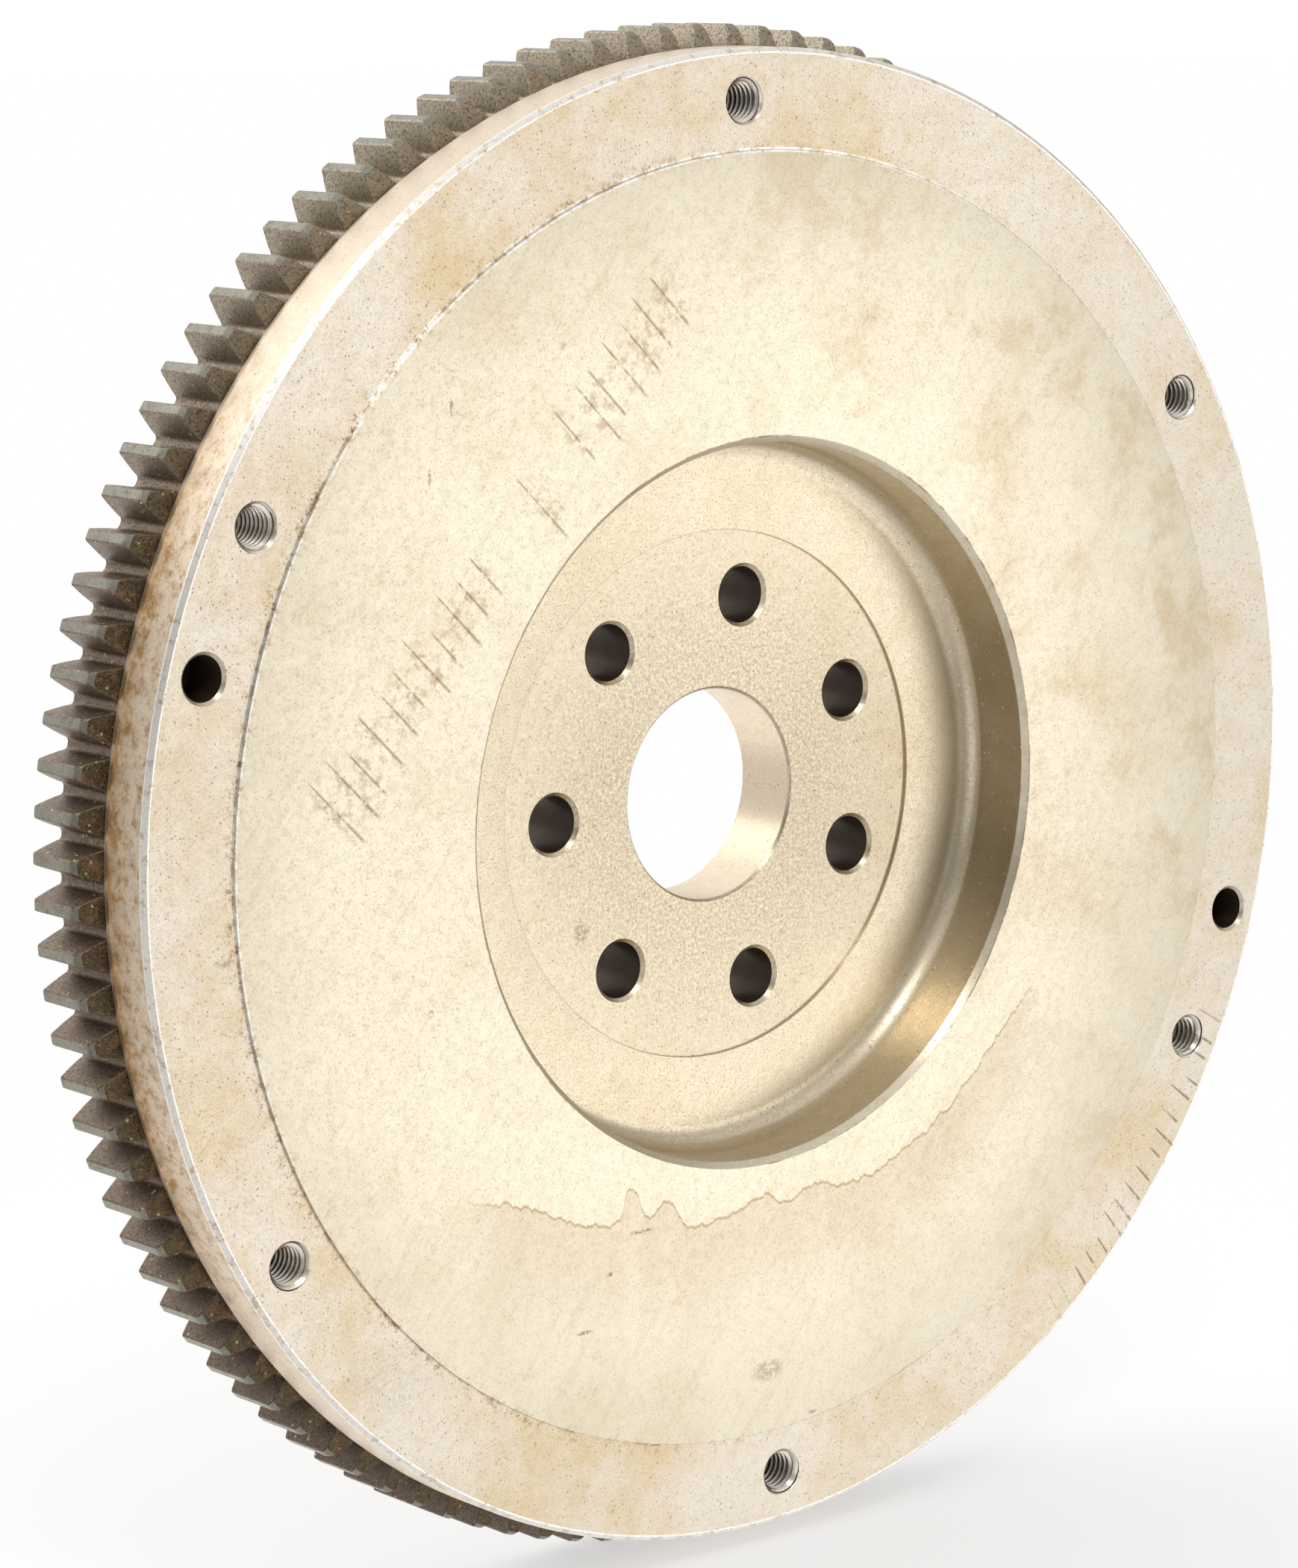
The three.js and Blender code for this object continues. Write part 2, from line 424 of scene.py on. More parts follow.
def addHoles(sheets, rings, kinds):
    # Joins each ring of points to the next, for every hole of a circle at once.
    for hole in range(len(rings[0])):
        for outerRing, innerRing, kind in zip(rings, rings[1:], kinds):
            sheets.addGrid(np.stack([outerRing[hole], innerRing[hole]]), kind, flip=True)


def addPlainSectors(sheets, inner, outer, y, takenStarts, takenSpan, flip):
    # The face between the holes' sectors.
    taken = (takenStarts[:, None] + np.arange(takenSpan)).reshape(-1) % turnSteps
    free = np.setdiff1d(np.arange(turnSteps), taken)
    radii = np.linspace(inner, outer, disc["rowsAcrossFace"] + 1)
    corners = [around(radii[:-1, None], y, free), around(radii[1:, None], y, free),
               around(radii[1:, None], y, free + 1), around(radii[:-1, None], y, free + 1)]
    points = np.stack(corners, 2).reshape(-1, 3)
    faces = np.arange(len(points)).reshape(-1, 4)
    sheets.add(points, faces[:, ::-1] if flip else faces, machined)


def addCrankHoles(sheets):
    starts, steps, radii = sectorLoops(crankHoles, boreEdge, disc["padRadius"])
    circle = crankHoles["circle"]
    bearing = bearings(crankHoles, circle, steps, radii)
    levels = [(crankHoles["radius"] + crankHoles["chamfer"], padY),
              (crankHoles["radius"], padY + crankHoles["chamfer"])]
    depths = np.linspace(padY + crankHoles["chamfer"], crankFaceY, 4)[1:]
    levels += [(crankHoles["radius"], y) for y in depths]
    rings = [around(radii, padY, steps)]
    rings += [holeRing(crankHoles, circle, bearing, radius, y) for radius, y in levels]
    rings.append(around(radii, crankFaceY, steps))
    addHoles(sheets, rings, [machined, machined, drilled, drilled, drilled, machined])
    for y, flip in ((padY, False), (crankFaceY, True)):
        addPlainSectors(sheets, boreEdge, disc["padRadius"], y, starts, 2 * crankHoles["span"], flip)


def addCoverThreads(sheets):
    # Threads wound into the cover face. A row of the thread lies at y = face + pitch * (row + clockwise
    # turn).
    # Its radius follows crest, crest, root, root. The countersink's cone and the thread's end cut it off.
    starts, steps, radii = sectorLoops(coverThreads, frictionRadius, rimRadius - disc["frontChamfer"])
    circle = rimRadius - coverThreads["inset"]
    bearing = bearings(coverThreads, circle, steps, radii)
    mouth = holeRing(coverThreads, circle, bearing, coverThreads["mouth"], coverFaceY)
    bearing = np.concatenate([bearing, bearing[:, :1]], 1)
    turn = (bearing[:, :1] - bearing) % fullTurn / fullTurn
    turn[:, -1] = 1.0
    core, pitch = coverThreads["coreRadius"], coverThreads["pitch"]
    end = coverFaceY + coverThreads["threaded"]
    rings = []
    for pitches in range(-1, math.ceil(coverThreads["threaded"] / pitch) + 1):
        for share, radius in ((0.0, core), (0.27, core), (0.55, coverThreads["rootRadius"]),
                              (0.72, coverThreads["rootRadius"])):
            y = np.clip(coverFaceY + pitch * (pitches + share + turn), coverFaceY, end)
            cone = coverThreads["mouth"] - (y - coverFaceY)
            wide = np.where(y < end, np.maximum(radius, cone), core)
            rings.append(holeRing(coverThreads, circle, bearing, wide, y))
    threadKinds = np.tile([machined, threaded, drilled, threaded], len(rings) // 4)[:-1]
    kinds = np.repeat(threadKinds, bearing.shape[1] - 1)
    for hole in range(coverThreads["count"]):
        sheets.addGrid(np.stack([ring[hole] for ring in rings]), kinds, closed=False, flip=True)
    bearing = bearing[:, :-1]
    point = core / math.tan(math.radians(coverThreads["drillPoint"] / 2))
    bottom = coverFaceY + coverThreads["depth"]
    below = [holeRing(coverThreads, circle, bearing, radius, y)
             for radius, y in ((core, end), (core, bottom), (0.0, bottom + point))]
    addHoles(sheets, below, [drilled, drilled])
    addHoles(sheets, [around(radii, coverFaceY, steps), mouth], [machined])
    return starts


def addDowelHoles(sheets):
    starts, steps, radii = sectorLoops(dowelHoles, frictionRadius, rimRadius - disc["frontChamfer"])
    circle = rimRadius - dowelHoles["inset"]
    bearing = bearings(dowelHoles, circle, steps, radii)
    radius, chamfer, bottom = dowelHoles["radius"], dowelHoles["chamfer"], coverFaceY + dowelHoles["depth"]
    levels = [(radius + chamfer, coverFaceY), (radius, coverFaceY + chamfer), (radius, bottom), (0.0, bottom)]
    rings = [around(radii, coverFaceY, steps)]
    rings += [holeRing(dowelHoles, circle, bearing, *level) for level in levels]
    addHoles(sheets, rings, [machined, machined, drilled, drilled])
    return starts


def makeDisc(material):
    # The disc: turned bands joined at their shared circles to flat faces with holes through them.
    sheets = Sheets()
    mouth = disc["recessRadius"] + disc["mouthChamfer"]
    fillet = np.linspace(0, math.pi / 2, 9)
    filletRing = np.stack([
        disc["recessRadius"] - disc["recessFillet"] * (1 - np.sin(fillet)),
        floorY - disc["recessFillet"] * (1 - np.cos(fillet)),
    ], -1)
    front = [(disc["padRadius"], padY), (disc["padRadius"], floorY), *map(tuple, filletRing),
             (disc["recessRadius"], frictionY + disc["mouthChamfer"]), (mouth, frictionY),
             (frictionRadius, frictionY), (frictionRadius, coverFaceY)]
    sheets.addGrid(turnedGrid(softened(front, disc["softEdge"])), machined)
    side = [(rimRadius - disc["frontChamfer"], coverFaceY), (rimRadius, coverFaceY + disc["frontChamfer"]),
            (rimRadius, shoulderY - disc["backChamferLength"]),
            (rimRadius - disc["backChamferRise"], shoulderY),
            (disc["seatRadius"], shoulderY), (disc["seatRadius"], gearBackY),
            (disc["pocketOuter"], gearBackY)]
    sheets.addGrid(turnedGrid(softened(side, disc["softEdge"])), machined)
    pocket = [(disc["pocketOuter"], gearBackY), (disc["pocketOuter"] - disc["pocketDraft"], pocketY),
              (disc["pocketInner"] + disc["pocketDraft"], pocketY),
              (disc["pocketInner"], crankFaceY - disc["backRelief"]),
              (disc["padRadius"], crankFaceY - disc["backRelief"]), (disc["padRadius"], crankFaceY)]
    sheets.addGrid(turnedGrid(softened(pocket, disc["castSoftEdge"])), castSkin)
    bore = [(boreEdge, crankFaceY), (disc["boreRadius"], crankFaceY - disc["boreChamfer"]),
            (disc["boreRadius"], padY + disc["boreChamfer"]), (boreEdge, padY)]
    sheets.addGrid(turnedGrid(bore), machined)
    addCrankHoles(sheets)
    starts = np.concatenate([addCoverThreads(sheets), addDowelHoles(sheets)])
    addPlainSectors(sheets, frictionRadius, rimRadius - disc["frontChamfer"], coverFaceY, starts,
                    2 * coverThreads["span"], False)
    return makeObject("turned_disc", sheets, material, disc["sharpDegrees"], "finish")


gear = {
    "toothCount": 111,
    "module": 2.54,
    "pressureAngle": 20.0,
    "toothDepth": 5.72,
    "rootFillet": 0.88,
    "phase": 0.43,  # degrees from +X to the first tooth
    "innerRadius": 131.79,
    "landEdge": 0.22,
    "frontEdge": 0.16,
    "backChamfer": 0.4,
    "slopeFoot": 138.39,  # radius where the front ends of the teeth start to slope back
    "slopeTop": 142.7,
    "slopeRise": 1.4,
    "facetRise": 2.6,
    "sharpDegrees": 28.0,
}
flank, front, land, ringBody = 0, 1, 2, 3  # kinds of surface on the gear


def toothHalfAngle(radius):
    # Half a tooth's thickness as an angle: pi / 2N + inv(pressure) - inv(acos(base / radius)).
    pitchRadius = gear["toothCount"] * gear["module"] / 2
    pressure = math.radians(gear["pressureAngle"])
    local = np.arccos(pitchRadius * math.cos(pressure) / radius)
    return math.pi / (2 * gear["toothCount"]) + math.tan(pressure) - pressure - (np.tan(local) - local)


def gearOutline():
    # One tooth's outline from gap to gap as (radius, angle), then repeated round the ring.
    root, fillet, edge = tipRadius - gear["toothDepth"], gear["rootFillet"], gear["landEdge"]
    # Root fillet: radius = foot - f sin t, and f (1 - cos t) further out.
    bend = np.linspace(math.pi / 2, 0, 5)
    bendRadius = root + fillet * (1 - np.sin(bend))
    bendAngle = toothHalfAngle(root + fillet) + fillet * (1 - np.cos(bend)) / bendRadius
    side = np.linspace(root + fillet, tipRadius - edge, 6)[1:]
    topAngle = toothHalfAngle(tipRadius) - edge / tipRadius
    radius = np.concatenate([[root], bendRadius, side, [tipRadius, tipRadius]])
    angle = np.concatenate([[math.pi / gear["toothCount"]], bendAngle, toothHalfAngle(side), [topAngle, 0]])
    radius, angle = np.append(radius, radius[-2:0:-1]), np.append(-angle, angle[-2:0:-1])
    tooth = np.arange(gear["toothCount"])[:, None]
    middle = math.radians(gear["phase"]) + tooth * fullTurn / gear["toothCount"]
    return np.tile(radius, gear["toothCount"]), (middle + angle).reshape(-1)


def inset(radius, angle, depth):
    # The outline moved inwards by depth, square to itself.
    spot = np.stack([radius * np.cos(angle), radius * np.sin(angle)], -1)
    along = np.roll(spot, -1, 0) - np.roll(spot, 1, 0)
    along /= np.linalg.norm(along, axis=1, keepdims=True)
    spot = spot - depth * np.stack([along[:, 1], -along[:, 0]], -1)
    return np.hypot(spot[:, 0], spot[:, 1]), np.arctan2(spot[:, 1], spot[:, 0])


def frontSlope(radius):
    # How far back the front end of a tooth lies at a radius: a slope, then a steeper facet up to the tip.
    reach = [gear["slopeFoot"], gear["slopeTop"], tipRadius]
    return gearFrontY + np.interp(radius, reach, [0, gear["slopeRise"], gear["facetRise"]])


def makeGear(material):
    # The ring: its outline carried along the wheel's axis, with the front ends cut to a cone, and a plain
    # bore.
    radius, angle = gearOutline()
    frontRadius, frontAngle = inset(radius, angle, gear["frontEdge"])
    backRadius, backAngle = inset(radius, angle, gear["backChamfer"])
    inner = np.full_like(radius, gear["innerRadius"])
    rows = [(inner, frontAngle, gearFrontY)]
    for limit in (gear["slopeFoot"], gear["slopeTop"], tipRadius):
        cut = np.minimum(frontRadius, limit)
        rows.append((cut, frontAngle, frontSlope(cut)))
    start = frontSlope(radius) + gear["frontEdge"]
    finish = gearBackY - gear["backChamfer"]
    rows += [(radius, angle, start + (finish - start) * share) for share in np.linspace(0, 1, 6)]
    rows += [(backRadius, backAngle, gearBackY), (inner, backAngle, gearBackY),
             (inner, frontAngle, gearFrontY)]
    grid = np.stack([
        np.stack([r * np.cos(a), np.broadcast_to(y, r.shape), r * np.sin(a)], -1) for r, a, y in rows
    ])
    sheets = Sheets()
    onLand = (np.minimum(radius, np.roll(radius, -1)) > tipRadius - gear["landEdge"] / 2)
    kinds = np.full((len(rows) - 1, len(radius)), flank)
    kinds[:4] = front
    kinds[2] = land
    kinds[3:9, onLand] = land
    kinds[9:] = ringBody
    sheets.add(grid, gridFaces(len(rows), len(radius), True), kinds.reshape(-1))
    return makeObject("toothed_ring", sheets, material, gear["sharpDegrees"], "finish")


iron = {
    "bright": linear(229, 219, 197),
    "warm": linear(206, 186, 150),
    "grey": linear(164, 152, 134),
    "side": linear(222, 208, 188),
    "cover": linear(217, 207, 192),
    # near-white for worn chips, also used as painted highlight on the chamfer, the step and the thread flanks
    "wearAndHighlight": linear(250, 246, 238),
    "stain": linear(160, 124, 76),
    # dark colour for dirt and the cast crust, also used as painted shade in corners and on the recess wall
    "dirtAndShade": linear(72, 58, 42),
    "pore": linear(128, 106, 78),
    # painted shade inside the holes and in the thread roots
    "hole": linear(66, 52, 40),
    "cast": linear(112, 100, 88),
    "stroke": linear(112, 92, 62),
    "roughness": 0.32,
    "castRoughness": 0.62,
    "anisotropy": 0.7,
}
strokeBand = {"x": -107.5, "z": -1.3, "along": (0.670, 0.742), "first": 12.0, "last": 131.0,
              "bare": (66.0, 94.0)}
rimNicks = {"radius": 135.5, "pitch": 4.4, "spread": 2.1, "angles": (-1.0, -0.38)}
# The tide line across the lower face: its height over x, both as shares of the window it is drawn in.
tideLine = {
    "x": (-74.0, 74.0),
    "z": (-82.0, -34.0),
    "points": [(0.0, 0.38), (0.11, 0.30), (0.26, 0.17), (0.275, 0.29), (0.31, 0.165), (0.335, 0.21),
               (0.375, 0.09),
               (0.455, 0.11), (0.50, 0.155), (0.535, 0.105), (0.58, 0.155), (0.65, 0.13), (0.755, 0.24),
               (0.81, 0.33),
               (0.90, 0.58), (1.0, 0.88)],
}
smudges = [  # x, z, reach along x and z, strength
    (1.2, -108.9, 4.5, 2.6, 0.45),
    (-31.5, -22.6, 2.4, 2.4, 0.5),
    (-123.0, -13.8, 2.6, 1.2, 0.4),
    (-37.8, -83.4, 1.6, 0.5, 0.8),
    (-88.0, -94.0, 13.0, 9.0, 0.12),
    (-30.0, -76.5, 3.4, 0.5, 0.8),
    (-48.2, 87.8, 0.9, 1.0, 0.7),
    (-29.0, 86.8, 0.8, 0.6, 0.6),
    (-73.4, 78.5, 0.5, 2.4, 0.7),
    (-78.4, 66.4, 0.5, 2.0, 0.6),
    (-44.0, -93.4, 2.2, 0.5, 0.7),
    (12.5, -119.2, 1.6, 0.5, 0.6),
    (-59.7, 4.4, 0.6, 3.0, 0.6),
    (-79.0, -28.7, 1.0, 1.0, 0.6),
]


def isKind(tree, kind, number):
    return calc(tree, "COMPARE", kind, float(number), 0.5)


def ironMarks():
    # The marks that sit at one place on the wheel: chatter strokes, rim nicks, the tide line and a few
    # smudges.
    group, given, out = newGroup(
        "marks on the face", [("Place", "vector", None), ("Radius", "number", 0), ("Depth", "number", 0),
                              ("Angle", "number", 0)],
        [("Strokes", "number"), ("Smears", "number"), ("Tide", "number"), ("Below tide", "number"),
         ("Smudges", "number"), ("Nicks", "number")],
    )
    axes = addNode(group, "SeparateXYZ", {"Vector": given["Place"]}).outputs
    x, z = axes["X"], axes["Z"]
    onFace = calc(group, "LESS_THAN", given["Depth"], frictionY + 0.3)
    ax, az = strokeBand["along"]
    fromX, fromZ = calc(group, "SUBTRACT", x, strokeBand["x"]), calc(group, "SUBTRACT", z, strokeBand["z"])
    u = calc(group, "MULTIPLY_ADD", fromX, ax, times(group, fromZ, az))
    v = calc(group, "MULTIPLY_ADD", fromX, az, times(group, fromZ, -ax))
    strokes = useGroup(group, chatterStrokes, U=u, V=v)
    inside = times(group, fade(group, u, strokeBand["first"] - 1, strokeBand["first"]),
                  fade(group, u, strokeBand["last"] + 1, strokeBand["last"]))
    low, high = strokeBand["bare"]
    gap = times(group, fade(group, u, low - 1, low + 1), fade(group, u, high + 1, high - 1))
    lone = fade(group, calc(group, "ABSOLUTE", calc(group, "SUBTRACT", u, 82)), 3, 2)
    sparse = calc(group, "SUBTRACT", 1.0, times(group, gap, calc(group, "SUBTRACT", 1.0, lone)))
    shown = times(group, times(group, inside, sparse), onFace)
    patches = fade(group, noise(group, given["Place"], 0.35, 3, 0.7), 0.34, 0.52)
    plug(group, times(group, times(group, strokes["Strokes"], shown), patches), out["Strokes"])
    blots = fade(group, noise(group, given["Place"], 0.5, 4, 0.7), 0.46, 0.62)
    plug(group, times(group, times(group, strokes["Smears"], shown), blots), out["Smears"])
    outward = times(group, calc(group, "SUBTRACT", given["Radius"], rimNicks["radius"]), rimNicks["spread"])
    nicks = useGroup(group, chatterStrokes, U=times(group, given["Angle"], rimNicks["radius"]), V=outward,
                     Pitch=rimNicks["pitch"])
    low, high = rimNicks["angles"]
    nicked = times(group, fade(group, given["Angle"], low, low + 0.1),
                  fade(group, given["Angle"], high, high - 0.1))
    nicked = times(group, nicked, calc(group, "GREATER_THAN", given["Radius"], frictionRadius + 4))
    plug(group, times(group, times(group, nicks["Strokes"], nicked), patches), out["Nicks"])
    (x0, x1), (z0, z1) = tideLine["x"], tideLine["z"]
    curve = addNode(group, "FloatCurve")
    line = curve.mapping.curves[0]
    for point, spot in zip(line.points, (tideLine["points"][0], tideLine["points"][-1])):
        point.location = spot
    for spot in tideLine["points"][1:-1]:
        line.points.new(*spot)
    curve.mapping.update()
    plug(group, fade(group, x, x0, x1), curve.inputs["Value"])
    curve.inputs["Value"].links[0].from_node.interpolation_type = "LINEAR"
    ripple = calc(group, "MULTIPLY_ADD", noise(group, x, 0.3, 3, 0.6, "1D"), 3.0, z0 - 1.5)
    height = calc(group, "MULTIPLY_ADD", curve.outputs["Value"], z1 - z0, ripple)
    above = calc(group, "SUBTRACT", z, height)
    within = times(group, fade(group, x, x0, x0 + 14), fade(group, x, x1, x1 - 10))
    within = times(group, within, onFace)
    thin = fade(group, calc(group, "ABSOLUTE", above), 0.42, 0.1)
    plug(group, times(group, thin, within), out["Tide"])
    under = times(group, fade(group, above, 0.1, -0.3), fade(group, above, -26, -2))
    plug(group, times(group, under, within), out["Below tide"])
    total = 0.0
    for atX, atZ, reachX, reachZ, strength in smudges:
        dx = calc(group, "DIVIDE", calc(group, "SUBTRACT", x, atX), reachX)
        dz = calc(group, "DIVIDE", calc(group, "SUBTRACT", z, atZ), reachZ)
        far = calc(group, "MULTIPLY_ADD", dx, dx, times(group, dz, dz))
        total = calc(group, "MULTIPLY_ADD", fade(group, far, 1.0, 0.1), strength, total)
    grain = fade(group, noise(group, given["Place"], 1.6, 3, 0.7), 0.38, 0.58)
    plug(group, times(group, total, grain, clamp=True), out["Smudges"])
    return group


def turnedIron():
    material = bpy.data.materials.new("turned iron")
    material.use_nodes = True
    tree = material.node_tree
    shader = tree.nodes["Principled BSDF"]
    at = useGroup(tree, wheelPlace)
    place, radius, depth = at["Place"], at["Radius"], at["Depth"]
    kind = addNode(tree, "Attribute", attribute_name="finish").outputs["Fac"]
    marks = useGroup(tree, ironMarks(), Place=place, Radius=radius, Depth=depth, Angle=at["Angle"])

    # Colour: a cream turned face, warmer in patches, with a fine grain, greyer towards the bore.
    axes = addNode(tree, "SeparateXYZ", {"Vector": place}).outputs
    cloud = noise(tree, place, 0.028, 6, 0.7)
    colour = blend(tree, fade(tree, cloud, 0.42, 0.78, 0, 0.5), iron["bright"], iron["warm"])
    bruise = times(tree, fade(tree, noise(tree, place, 0.06, 6, 0.7), 0.48, 0.68),
                  fade(tree, calc(tree, "ADD", axes["X"], times(tree, axes["Z"], 0.5)), -20, 120, 0.1, 0.7))
    colour = blend(tree, bruise, colour, iron["warm"])
    onCover = calc(tree, "GREATER_THAN", radius, frictionRadius + 0.1)
    colour = blend(tree, onCover, colour, blend(tree, fade(tree, cloud, 0.4, 0.7), iron["cover"],
                                                iron["warm"]))
    fine = noise(tree, place, 0.5, 6, 0.75)
    colour = blend(tree, fade(tree, fine, 0.45, 0.75, 0, 0.3), colour, iron["warm"])
    scuffs = addNode(tree, "Mapping", {"Vector": place, "Rotation": (0, math.radians(-48), 0),
                                       "Scale": (7, 4, 1.0)}, vector_type="TEXTURE").outputs[0]
    scuffs = times(tree, fade(tree, noise(tree, scuffs, 1.0, 3, 0.6), 0.6, 0.72, 0, 0.14),
                  fade(tree, cloud, 0.5, 0.6))
    colour = blend(tree, scuffs, colour, iron["stroke"])
    brushed = addNode(tree, "Mapping", {"Vector": place, "Rotation": (0, math.radians(-52), 0),
                                        "Scale": (40, 10, 2.4)}, vector_type="TEXTURE").outputs[0]
    brushing = fade(tree, noise(tree, brushed, 1.0, 4, 0.65), 0.5, 0.75, 0, 0.3)
    colour = blend(tree, brushing, colour, iron["warm"])
    hubShare = fade(tree, radius, 60, 22, 0, 0.85)
    sparkle = fade(tree, noise(tree, place, 1.5, 3, 0.8), 0.4, 0.62)
    colour = blend(tree, hubShare, colour, blend(tree, sparkle, iron["grey"], iron["bright"]))
    onSide = calc(tree, "GREATER_THAN", radius, rimRadius - 0.9)
    inBore = calc(tree, "LESS_THAN", radius, disc["boreRadius"] + 0.2)
    colour = blend(tree, calc(tree, "MAXIMUM", onSide, inBore), colour, iron["side"])
    mottle = noise(tree, place, 0.4, 6, 0.78)
    leftSide = fade(tree, axes["X"], -0.7 * rimRadius, -0.97 * rimRadius, 0.1, 0.95)
    nearGear = fade(tree, depth, coverFaceY + 2, shoulderY, 0.15, 0.8)
    sideStain = times(tree, calc(tree, "ADD", nearGear, fade(tree, mottle, 0.42, 0.74)), leftSide, clamp=True)
    colour = blend(tree, times(tree, sideStain, onSide), colour, iron["stain"])
    # Painted highlight: the rim's front chamfer is painted near-white in broken patches.
    fromEdge = calc(tree, "SUBTRACT", calc(tree, "SUBTRACT", radius, depth), rimRadius - coverFaceY)
    onChamfer = fade(tree, calc(tree, "ABSOLUTE", calc(tree, "ADD", fromEdge, disc["frontChamfer"])), 0.4,
                     0.2)
    wearAndHighlight = fade(tree, noise(tree, place, 0.5, 4, 0.7), 0.32, 0.5)
    colour = blend(tree, times(tree, onChamfer, wearAndHighlight), colour, iron["wearAndHighlight"])

    # Stains, dirt with painted shade along the steps, painted shade on the recess wall, and the marks on the
    # face.
    colour = blend(tree, times(tree, calc(tree, "LESS_THAN", radius, disc["recessRadius"]), 0.35), colour,
                   iron["warm"])
    inRecess = times(tree, calc(tree, "LESS_THAN", radius, disc["recessRadius"] + 0.1),
                    calc(tree, "GREATER_THAN", radius, disc["padRadius"]))
    # Painted shade on the recess wall, heaviest towards its right side.
    onWall = times(tree, inRecess, calc(tree, "GREATER_THAN", radius, disc["recessRadius"] - 0.3))
    eastward = fade(tree, calc(tree, "ABSOLUTE", at["Angle"]), 0.75, 0.2)
    colour = blend(tree, times(tree, onWall, calc(tree, "MULTIPLY_ADD", eastward, 0.32, 0.06)), colour,
                   iron["dirtAndShade"])
    colour = blend(tree, times(tree, marks["Below tide"], 0.22), colour, iron["stain"])
    colour = blend(tree, times(tree, marks["Tide"], 0.62), colour, iron["stain"])
    colour = blend(tree, times(tree, marks["Smears"], 0.4), colour, iron["stain"])
    colour = blend(tree, times(tree, marks["Strokes"], 0.62), colour, iron["stroke"])
    colour = blend(tree, times(tree, marks["Nicks"], 0.75), colour, iron["stroke"])
    colour = blend(tree, marks["Smudges"], colour, iron["stroke"])
    # Dark lines along the steps and the rim's back shoulder: partly dirt, partly painted shade in the
    # corners.
    dirtAndShade = 0.0
    for atRadius, atDepth, width, patchiness in (
        (frictionRadius, coverFaceY, 0.55, 1.6),
        (disc["padRadius"], floorY, 0.14, 1.0),
        (rimRadius - disc["backChamferRise"], shoulderY, 1.2, 0.2),
        (disc["recessRadius"] + disc["mouthChamfer"], frictionY, 0.25, 1.4),
    ):
        edge = useGroup(tree, edgeLine, Place=place, Radius=radius, Depth=depth, **{
            "At radius": atRadius, "At depth": atDepth, "Width": width, "Patchiness": patchiness})
        dirtAndShade = calc(tree, "MAXIMUM", dirtAndShade, edge["Mask"])
    # Painted highlight: on its upper-left arc the friction step loses its dark line and is painted near-white
    # in broken patches.
    upperLeft = fade(tree, calc(tree, "SUBTRACT", axes["Z"], axes["X"]), 30, 120)
    atStep = fade(tree, calc(tree, "ABSOLUTE", calc(tree, "SUBTRACT", radius, frictionRadius)), 0.6, 0.3)
    stepHighlight = times(tree, upperLeft, atStep)
    dirtAndShade = times(tree, dirtAndShade, calc(tree, "SUBTRACT", 1.0, stepHighlight))
    colour = blend(tree, times(tree, dirtAndShade, 0.75), colour, iron["dirtAndShade"])
    broken = fade(tree, noise(tree, place, 0.35, 5, 0.8), 0.42, 0.52)
    colour = blend(tree, times(tree, stepHighlight, broken), colour, iron["wearAndHighlight"])
    fromStep = calc(tree, "ABSOLUTE", calc(tree, "SUBTRACT", radius, frictionRadius + 0.6))
    crumbs = times(tree, fade(tree, fromStep, 2.2, 0.2),
                   fade(tree, noise(tree, place, 0.5, 5, 0.8), 0.52, 0.64))
    crumbs = times(tree, crumbs, fade(tree, axes["X"], 30, -90, 0.15, 0.8))
    colour = blend(tree, crumbs, colour, iron["stain"])
    pores = useGroup(tree, speckle, Place=place, **{"Cells per mm": 1.2, "Share": 0.16})["Mask"]
    finePores = useGroup(tree, speckle, Place=place, **{"Cells per mm": 2.6, "Share": 0.5})["Mask"]
    grain = fade(tree, noise(tree, place, 2.4, 3, 0.75), 0.5, 0.72, 0, 0.3)
    specks = calc(tree, "MAXIMUM", times(tree, pores, 0.5), times(tree, finePores, 0.42))
    specks = calc(tree, "MAXIMUM", specks, grain)
    specks = times(tree, specks, calc(tree, "MULTIPLY_ADD", inRecess, 0.6, 1.0), clamp=True)
    colour = blend(tree, specks, colour, iron["pore"])
    chips = useGroup(tree, speckle, Place=place, **{"Cells per mm": 0.9, "Share": 0.4})["Mask"]
    colour = blend(tree, times(tree, chips, times(tree, inRecess, 0.6)), colour, iron["wearAndHighlight"])

    # The hidden pocket keeps its cast skin. The hole walls, hole bottoms and thread roots are painted dark as
    # painted shade, and the thread flanks lighter as a painted highlight.
    skin, inHole, inThread = (isKind(tree, kind, number) for number in (castSkin, drilled, threaded))
    crust = fade(tree, noise(tree, place, 0.5, 6, 0.7), 0.3, 0.7, 0.5, 1.2)
    colour = blend(tree, skin, colour, blend(tree, crust, iron["dirtAndShade"], iron["cast"]))
    colour = blend(tree, times(tree, inThread, 0.6), colour, iron["wearAndHighlight"])
    colour = blend(tree, inHole, colour, iron["hole"])
    rough = calc(tree, "MULTIPLY_ADD", fine, 0.2, iron["roughness"] - 0.1)
    rough = calc(tree, "MULTIPLY_ADD", calc(tree, "MAXIMUM", dirtAndShade, specks), 0.3, rough)
    rough = calc(tree, "MULTIPLY_ADD", onSide, 0.12, rough)
    rough = calc(tree, "MULTIPLY_ADD", inHole, 0.15, rough)
    rough = calc(tree, "MULTIPLY_ADD", calc(tree, "ADD", inThread, times(tree, inRecess, 0.3)), -0.1, rough)
    rough = calc(tree, "MAXIMUM", rough, times(tree, skin, iron["castRoughness"]))
    soiled = calc(tree, "MAXIMUM", times(tree, dirtAndShade, 0.7), times(tree, skin, 0.5))
    soiled = calc(tree, "MAXIMUM", soiled, times(tree, inHole, 0.35))
    metal = calc(tree, "SUBTRACT", 0.96, calc(tree, "MAXIMUM", soiled, times(tree, specks, 0.5)))

